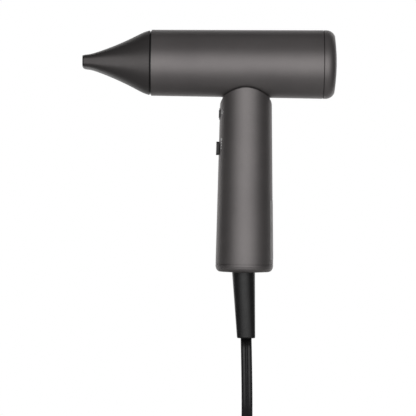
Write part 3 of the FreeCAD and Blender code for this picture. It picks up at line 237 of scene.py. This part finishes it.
def make_mesh():
    """Fine woven filter cloth: two crossed sets of threads."""
    shader = Shader("filter_weave", (0.09, 0.09, 0.095), 0.6)
    across, down = shader.wave(420.0, "Y"), shader.wave(420.0, "Z")
    weave = shader.math("MAXIMUM", across, down)
    shader.vary_color(weave, (0.2, 0.2, 0.21), 0.5, 0.9)
    shader.vary_roughness(shader.noise(300.0, 3.0), 0.08)
    shader.bump(weave, 0.0001, 0.8)
    return shader


def make_windings():
    """Enamelled copper laid in fine turns."""
    shader = metal("winding_copper", (0.72, 0.3, 0.12), 0.28)
    shader.bump(shader.wave(900.0, "X"), 0.00012, 0.7)
    return shader


def make_strap():
    """Woven hook-and-loop strap."""
    shader = Shader("strap_weave", (0.016, 0.016, 0.017), 0.85)
    weave = shader.math("MULTIPLY", shader.wave(500.0, "X"), shader.wave(500.0, "Z"))
    shader.vary_color(weave, (0.045, 0.045, 0.048), 0.1, 0.8)
    shader.vary_roughness(shader.noise(900.0, 3.0), 0.08)
    shader.bump(weave, 0.00015, 0.7)
    shader.bump(shader.noise(3000.0, 3.0), 0.00006, 0.5)
    return shader


def make_label():
    """Matt printed foil, blank."""
    shader = Shader("label_foil", (0.34, 0.335, 0.33), 0.5, metallic=0.2)
    shader.vary_color(shader.noise(90.0, 3.0), (0.4, 0.395, 0.39))
    shader.vary_roughness(shader.noise(250.0, 3.0), 0.06)
    shader.bump(shader.noise(1500.0, 3.0), 0.00001, 0.3)
    return shader


def make_cord():
    """Glossy flexible PVC with slow ripples from its extrusion."""
    shader = Shader("cord_pvc", (0.006, 0.006, 0.0065), 0.29)
    shader.vary_color(shader.noise(150.0, 3.0), (0.01, 0.01, 0.011))
    shader.vary_roughness(shader.noise(120.0, 3.0), 0.05)
    shader.bump(shader.noise(260.0, 2.0), 0.00005, 0.2)
    shader.bump(shader.noise(2600.0, 2.0), 0.00001, 0.25)
    return shader


finishes = {
    "gunmetal": make_gunmetal("gunmetal_paint", 1.0),
    "dark_gunmetal": make_gunmetal("dark_gunmetal_paint", 0.46),
    "black_satin": plastic("black_satin_plastic", (0.012, 0.012, 0.0125), 0.42),
    "black_gloss": plastic("black_gloss_plastic", (0.009, 0.009, 0.0095), 0.16, 900.0, 0.000005, 0.3),
    "boot": plastic("boot_rubber", (0.009, 0.009, 0.0095), 0.36, 2200.0, 0.00003),
    "rubber": plastic("rubber_dull", (0.02, 0.02, 0.02), 0.7, 1500.0, 0.00004),
    "grey_plastic": plastic("grey_nylon", (0.09, 0.09, 0.092), 0.5),
    "white_plastic": plastic("white_nylon", (0.62, 0.61, 0.58), 0.45),
    "steel": metal("ground_steel", (0.56, 0.55, 0.54), 0.28, (1.0, 12.0, 12.0)),
    "magnet": metal("nickel_plate", (0.62, 0.6, 0.57), 0.2),
    "heating_wire": metal("heating_wire_oxide", (0.2, 0.16, 0.13), 0.45, (8.0, 1.0, 1.0)),
    "aluminium": metal("cast_aluminium", (0.72, 0.73, 0.74), 0.35, (1.0, 1.0, 6.0)),
    "copper": make_windings(),
    "board": make_board(),
    "mesh": make_mesh(),
    "label": make_label(),
    "strap": make_strap(),
    "cord": make_cord(),
    "blade": metal("plated_brass", (0.78, 0.68, 0.45), 0.22, (1.0, 8.0, 1.0)),
    "ceramic": plastic("ceramic_white", (0.72, 0.7, 0.66), 0.3, 700.0, 0.00003, 0.2),
    "print": plastic("printed_ink", (0.62, 0.62, 0.61), 0.5, 3000.0, 0.000005),
}


def make_mica():
    """Layered mica sheet: pale gold, with a flaky sheen."""
    shader = Shader("mica_sheet", (0.5, 0.4, 0.25), 0.35, coat=0.3)
    shader.vary_color(shader.cells(260.0), (0.36, 0.27, 0.15), 0.1, 0.8)
    shader.vary_roughness(shader.noise(160.0, 5.0), 0.1)
    shader.bump(shader.cells(260.0), 0.00004, 0.5)
    return shader


finishes["mica"] = make_mica()

node_finish = {
    "dark_gunmetal": ("nozzle_shell",),
    "gunmetal": ("barrel_shell", "rear_cap", "handle_shell", "base_cap", "knob_plate"),
    # The neck gasket is a real black seam, and its black also paints the shade that falls in the corners
    # between the grip and the barrel.
    "black_satin": ("nozzle_lip", "nozzle_collar", "front_ring", "outlet_grille", "inlet_ring", "rear_grille",
                    "neck_gasket", "mode_button", "slide_knob", "impeller", "tact_switch", "board_chips"),
    "black_gloss": ("button_bezel",),
    "boot": ("strain_relief", "plug_body"),
    "rubber": ("motor_mount",),
    "grey_plastic": ("inner_duct", "chassis", "inlet_bell", "neck_tube", "slide_carrier", "slide_body",
                     "motor_housing"),
    "white_plastic": ("connector", "cord_clamp"),
    "steel": ("stator_core", "bearing_front", "bearing_rear", "rotor_shaft", "clamp_screws",
              "thermal_cutout"),
    "magnet": ("nozzle_magnets", "barrel_magnets", "cap_magnets", "rotor_magnet"),
    "mica": ("heat_tube", "heater_frame"),
    "heating_wire": ("heater_coil",),
    "aluminium": ("motor_bracket", "heat_sink", "capacitor"),
    "copper": ("stator_windings", "choke", "transformer"),
    "board": ("main_board", "switch_board"),
    "mesh": ("filter_mesh",),
    "label": ("rating_plate",),
    "strap": ("cord_tie",),
    "cord": ("power_cord", "cord_coil", "supply_leads"),
    "blade": ("plug_blades",),
    "ceramic": ("ion_emitter",),
}


def finish_with(obj, finish):
    material = finishes[finish].material
    if not obj.material_slots:
        obj.data.materials.append(material)
    for slot in obj.material_slots:
        slot.link = "OBJECT"
        slot.material = material


finished = set()
for finish, names in node_finish.items():
    for name in names:
        finish_with(nodes[name], finish)
        finished.add(name)
unfinished = sorted(set(nodes) - finished)
if unfinished:
    raise RuntimeError(f"nodes with no finish: {unfinished}")

# ---- Cord -------------------------------------------------------------------------------------

points_per_turn = 24
turns = 5.5
lower_shift = (185.0, 235.0)         # degrees of each turn where the lower turns step outwards
descent = (238.0, 290.0)             # where the innermost turn drops to the lower layer
upper_shift = (293.0, 360.0)         # where the upper turns step inwards


plug_lead_in = (                     # distance from the coil's side and height, mm
    (0.0, layer_z[1]),
    (7.0, layer_z[1] + 0.4),
    (13.0, plug_axis_z),
    (22.0, plug_axis_z),
)


def share_between(value, span):
    return smoothstep((value - span[0]) / (span[1] - span[0]))


def coil_place(angle):
    """Radius and height of the coiled cord at an angle along it, in degrees from where it starts."""
    turn, rest = divmod(angle, 360.0)
    pitch = turn_radii[0] - turn_radii[1]
    if turn < 2:
        return turn_radii[int(turn)] - pitch * share_between(rest, upper_shift), layer_z[0]
    if turn < 3:
        drop = share_between(rest, descent)
        return turn_radii[2], layer_z[0] + drop * (layer_z[1] - layer_z[0])
    steps = min(2, int(turn) - 3)
    grown = pitch * share_between(rest, lower_shift) if turn < 5 else 0.0
    return turn_radii[2] + steps * pitch + grown, layer_z[1]


step = 360.0 / points_per_turn
tangent_grow = 1.0 / math.cos(math.radians(step / 2.0))
cord_points = list(cord_route)
for i in range(int(turns * points_per_turn)):
    angle = (i + 0.5) * step
    radius, z = coil_place(angle)
    turn = math.radians(angle)
    cord_points.append((coil_centre[0] + radius * tangent_grow * math.cos(turn),
                        coil_centre[1] + radius * tangent_grow * math.sin(turn), z))
leaving_x = coil_centre[0] - turn_radii[0]
for ahead, z in plug_lead_in:
    cord_points.append((leaving_x, coil_centre[1] - ahead, z))

route_curve = bpy.data.curves.new("cord_route", "CURVE")
route_curve.dimensions = "3D"
spline = route_curve.splines.new("NURBS")
spline.points.add(len(cord_points) - 1)
for point, place in zip(spline.points, cord_points):
    point.co = (place[0] * MM, place[1] * MM, place[2] * MM, 1.0)
spline.order_u = 3
spline.use_endpoint_u = True
route_curve.resolution_u = 6
route_object = bpy.data.objects.new("cord_route", route_curve)
route_mesh = bpy.data.meshes.new_from_object(route_object)
cord_path = [v.co.copy() for v in route_mesh.vertices]
bpy.data.meshes.remove(route_mesh)
bpy.data.objects.remove(route_object)


groove_half_width = 0.25             # mm, between the cord's two lobes
groove_floor = 0.93                  # share of the height at which the lobes meet the groove
lobe_steps = 14
twist_start_share = 0.35             # share of the hanging run above which the cord doesn't turn
hanging_length = 0.1449              # m, from the strain relief to where the coil starts


def twin_section(width, thickness, groove, steps_per_lobe):
    """Outline of a twin flat cord: two round lobes and a groove between them."""
    lobe = thickness / 2.0
    centre = width / 2.0 - lobe
    limit = math.acos((groove - centre) / lobe)
    points = []
    for side in (1.0, -1.0):
        for i in range(steps_per_lobe + 1):
            turn = -limit + 2.0 * limit * i / steps_per_lobe
            points.append((side * (centre + lobe * math.cos(turn)), side * lobe * math.sin(turn)))
        deep = groove_floor * lobe * math.sin(limit)
        points.append((0.0, side * deep))
    return points


def sweep_cord(name, path, section, twist_end):
    """A mesh tube along the path; its wide side turns from across the view to upright."""
    travelled = [0.0]
    for before, here in zip(path, path[1:]):
        travelled.append(travelled[-1] + (here - before).length)
    twist_start = twist_start_share * twist_end
    verts, faces = [], []
    for i, place in enumerate(path):
        tangent = (path[min(i + 1, len(path) - 1)] - path[max(i - 1, 0)]).normalized()
        share = smoothstep((travelled[i] - twist_start) / (twist_end - twist_start))
        if share < 1.0:
            flat = Vector((1.0, 0.0, 0.0))
            flat = (flat - tangent * flat.dot(tangent)).normalized()
            side = tangent.cross(flat)
            turn = share * math.pi / 2.0
            wide = flat * math.cos(turn) + side * math.sin(turn)
        else:
            wide = Vector((0.0, 0.0, -1.0))
            wide = (wide - tangent * wide.dot(tangent)).normalized()
        thin = tangent.cross(wide)
        verts += [place + wide * (w * MM) + thin * (t * MM) for w, t in section]
    count = len(section)
    for i in range(len(path) - 1):
        for j in range(count):
            k = (j + 1) % count
            faces.append((i * count + j, i * count + k, (i + 1) * count + k, (i + 1) * count + j))
    faces.append(tuple(reversed(range(count))))
    faces.append(tuple((len(path) - 1) * count + j for j in range(count)))
    return mesh_object(name, verts, faces)


cord_outline = twin_section(cord_width, cord_thickness, groove_half_width, lobe_steps)
power_cord = sweep_cord("cord", cord_path, cord_outline, hanging_length)
finish_with(power_cord, "cord")
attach(power_cord, "dryer")
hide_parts("power_cord", "cord_coil")

# ---- Printed marks beside the controls ----------------------------------------------------------

mark_lift = 0.03                     # thickness of the ink


def on_grip(y, z, lift):
    """A point on the grip's front, at a height and a distance to the side."""
    radius = grip_radius(z) + lift
    return Vector((-math.sqrt(radius * radius - y * y), y, z)) * MM


def printed_ring(name, y, z, outer, inner, start, end, steps=40):
    """A flat ring, or part of one, printed on the grip."""
    verts, faces = [], []
    for i in range(steps + 1):
        turn = math.radians(start + (end - start) * i / steps)
        corners = ((outer, -mark_lift), (outer, mark_lift), (inner, mark_lift), (inner, -mark_lift))
        for radius, lift in corners:
            verts.append(on_grip(y + radius * math.sin(turn), z + radius * math.cos(turn), lift))
    for i in range(steps):
        for j in range(4):
            k = (j + 1) % 4
            faces.append((4 * i + j, 4 * i + k, 4 * i + 4 + k, 4 * i + 4 + j))
    faces.append((3, 2, 1, 0))
    last = 4 * steps
    faces.append((last, last + 1, last + 2, last + 3))
    return mesh_object(name, verts, faces, False)


ink_marks = (                        # name, y, height, outer and inner radius in mm, ends in degrees
    ("mark_power", -7.7, 69.0, 1.6, 1.05, 30.0, 330.0),
    ("mark_high", -8.0, 48.6, 1.15, 0.0, 0.0, 360.0),
    ("mark_middle", -8.0, 46.3, 0.85, 0.0, 0.0, 360.0),
    ("mark_low", -8.0, 44.2, 0.7, 0.0, 0.0, 360.0),
    ("mark_off", -8.0, 42.1, 0.7, 0.35, 0.0, 360.0),
)
for ink_mark in ink_marks:
    mark = printed_ring(*ink_mark)
    finish_with(mark, "print")
    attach(mark, "dryer")

# ---- Studio -------------------------------------------------------------------------------------

floor_radius = 0.52                  # m
floor_solid_radius = 0.25            # the floor fades out from here to its edge
floor_place_y = 0.02
floor_gap = 0.0001                   # below the surface that the cord lies on
floor_shade = 0.82
floor_glow = 0.5
floor_rings, floor_spokes = 12, 64
backdrop_strength = 1.0
fill_strength = 0.1
fill_color = (1.0, 0.99, 0.985, 1.0)
white = (1.0, 1.0, 1.0, 1.0)


def make_floor():
    """A round disc made of rings of faces."""
    verts = [(0.0, 0.0, 0.0)]
    for r in range(floor_rings):
        radius = floor_radius * (r + 1) / floor_rings
        for s in range(floor_spokes):
            turn = 2.0 * math.pi * s / floor_spokes
            verts.append((radius * math.cos(turn), radius * math.sin(turn), 0.0))
    faces = [(0, 1 + s, 1 + (s + 1) % floor_spokes) for s in range(floor_spokes)]
    for r in range(floor_rings - 1):
        low, high = 1 + r * floor_spokes, 1 + (r + 1) * floor_spokes
        for s in range(floor_spokes):
            t = (s + 1) % floor_spokes
            faces.append((low + s, high + s, high + t, low + t))
    disc = mesh_object("floor", verts, faces)
    disc.location = (coil_centre[0] * MM, floor_place_y, surface_z * MM - floor_gap)
    return disc


def empty_tree(owner):
    """The node tree of a material or a world, with nothing in it yet."""
    owner.use_nodes = True
    owner.node_tree.nodes.clear()
    return owner.node_tree


def add_node(tree, kind, inputs):
    """A new node with some of its inputs set."""
    node = tree.nodes.new(kind)
    for name, value in inputs.items():
        node.inputs[name].default_value = value
    return node


def make_floor_material():
    """Pale floor that looks a little brighter to the camera and fades out towards its edge."""
    material = bpy.data.materials.new("floor_pale")
    tree = empty_tree(material)
    join = tree.links.new
    out = add_node(tree, "ShaderNodeOutputMaterial", {})
    shade = (floor_shade, floor_shade, floor_shade, 1.0)
    diffuse = add_node(tree, "ShaderNodeBsdfDiffuse", {"Color": shade})
    glow = add_node(tree, "ShaderNodeEmission", {"Color": white})
    seen = add_node(tree, "ShaderNodeLightPath", {})
    lift = add_node(tree, "ShaderNodeMath", {1: floor_glow})
    lift.operation = "MULTIPLY"
    join(seen.outputs["Is Camera Ray"], lift.inputs[0])
    join(lift.outputs[0], glow.inputs["Strength"])
    both = add_node(tree, "ShaderNodeAddShader", {})
    join(diffuse.outputs[0], both.inputs[0])
    join(glow.outputs[0], both.inputs[1])
    clear = add_node(tree, "ShaderNodeBsdfTransparent", {})
    coords = add_node(tree, "ShaderNodeTexCoord", {})
    length = add_node(tree, "ShaderNodeVectorMath", {})
    length.operation = "LENGTH"
    join(coords.outputs["Object"], length.inputs[0])
    fade = add_node(tree, "ShaderNodeMapRange", {
        "From Min": floor_solid_radius,
        "From Max": floor_radius,
        "To Min": 0.0,
        "To Max": 1.0,
    })
    fade.interpolation_type = "SMOOTHSTEP"
    join(length.outputs["Value"], fade.inputs["Value"])
    mixed = add_node(tree, "ShaderNodeMixShader", {})
    join(fade.outputs["Result"], mixed.inputs[0])
    join(both.outputs[0], mixed.inputs[1])
    join(clear.outputs[0], mixed.inputs[2])
    join(mixed.outputs[0], out.inputs["Surface"])
    return material


def make_world():
    """White to the camera, a dim fill to everything else."""
    world = bpy.data.worlds.new("studio")
    tree = empty_tree(world)
    join = tree.links.new
    out = add_node(tree, "ShaderNodeOutputWorld", {})
    backdrop = add_node(tree, "ShaderNodeBackground", {"Color": white, "Strength": backdrop_strength})
    fill = add_node(tree, "ShaderNodeBackground", {"Color": fill_color, "Strength": fill_strength})
    seen = add_node(tree, "ShaderNodeLightPath", {})
    mixed = add_node(tree, "ShaderNodeMixShader", {})
    join(seen.outputs["Is Camera Ray"], mixed.inputs[0])
    join(fill.outputs[0], mixed.inputs[1])
    join(backdrop.outputs[0], mixed.inputs[2])
    join(mixed.outputs[0], out.inputs["Surface"])
    return world


def panel(name, place, target, width, height, power):
    """A soft rectangular light aimed at a point."""
    data = bpy.data.lights.new(name, "AREA")
    data.shape = "RECTANGLE"
    data.size, data.size_y = width, height
    data.energy = power
    lamp = bpy.data.objects.new(name, data)
    lamp.location = place
    lamp.rotation_mode = "QUATERNION"
    lamp.rotation_quaternion = (Vector(target) - Vector(place)).to_track_quat("-Z", "Y")
    lamp.visible_camera = False
    link(lamp)


floor = make_floor()
floor.data.materials.append(make_floor_material())
scene.world = make_world()

middle = (-0.03, 0.0, 0.02)
studio_panels = (                    # name, place and size in m, power in W
    ("front_wide", (-0.03, -2.6, -0.05), 6.0, 3.6, 50.0),
    ("front_core", (-0.03, -2.59, -0.05), 2.4, 1.8, 10.0),
    ("back_panel", (-0.03, 2.4, 0.15), 6.4, 4.2, 80.0),
    ("top_panel", (0.0, -0.4, 2.4), 2.4, 2.0, 2.5),
)
for name, place, width, height, power in studio_panels:
    panel(name, place, middle, width, height, power)

scene.view_settings.view_transform = "Standard"
scene.view_settings.look = "None"
